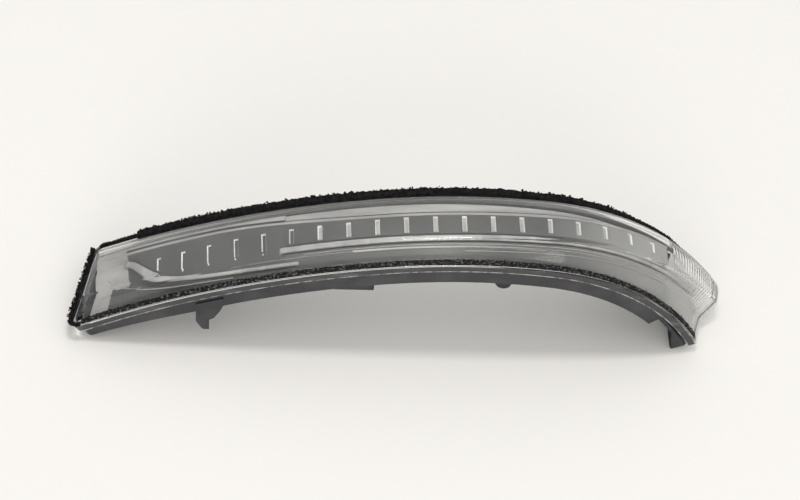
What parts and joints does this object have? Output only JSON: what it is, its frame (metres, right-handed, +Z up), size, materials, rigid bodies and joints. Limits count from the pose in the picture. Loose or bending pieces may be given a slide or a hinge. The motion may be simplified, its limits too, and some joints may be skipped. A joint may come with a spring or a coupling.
{
  "type": "mirror turn signal lamp",
  "caption": "Arched clear-lensed turn signal lamp for a door mirror, with a notched inner bezel, light guides, a dark tub, foam edge strips and a fluted nose.",
  "frame": {"origin": "middle of the lamp's box, on the ground that its two ends stand on", "axes": "+X along the lamp towards the nose, +Y towards the rear edge with the broad foam strip, +Z up, out of the arch"},
  "size_m": [0.243, 0.0346, 0.0548],
  "materials": {
    "tub_plastic": "fine moulded grain, dark blue-grey",
    "clear_lens": "clear polished acrylic",
    "bezel_plastic": "satin grey",
    "reflector_plastic": "bright satin",
    "guide_plastic": "clear, frosted on its underside",
    "board_laminate": "green solder mask",
    "led_case": "white case",
    "chip_case": "black moulded case",
    "resistor_body": "dark glaze",
    "capacitor_body": "tan ceramic",
    "pin_metal": "tinned",
    "screw_steel": "zinc plated",
    "vent_fabric": "matte membrane",
    "foam": "open black foam"
  },
  "bodies": {
    "root": {"housing": "tub_plastic", "outer_lens": "clear_lens", "bezel": "bezel_plastic", "end_reflector": "reflector_plastic", "light_guide_long": "guide_plastic", "light_guide_short": "guide_plastic", "circuit_board": "board_laminate", "led_long": "led_case", "led_short": "led_case", "driver_chip": "chip_case", "diode": "chip_case", "resistors": "resistor_body", "capacitors": "capacitor_body", "contact_pins": "pin_metal", "board_screw_left": "screw_steel", "board_screw_right": "screw_steel", "vent_patch": "vent_fabric", "foam_strip_rear": "foam", "foam_strip_end": "foam", "foam_strip_front": "foam"}
  },
  "joints": []
}
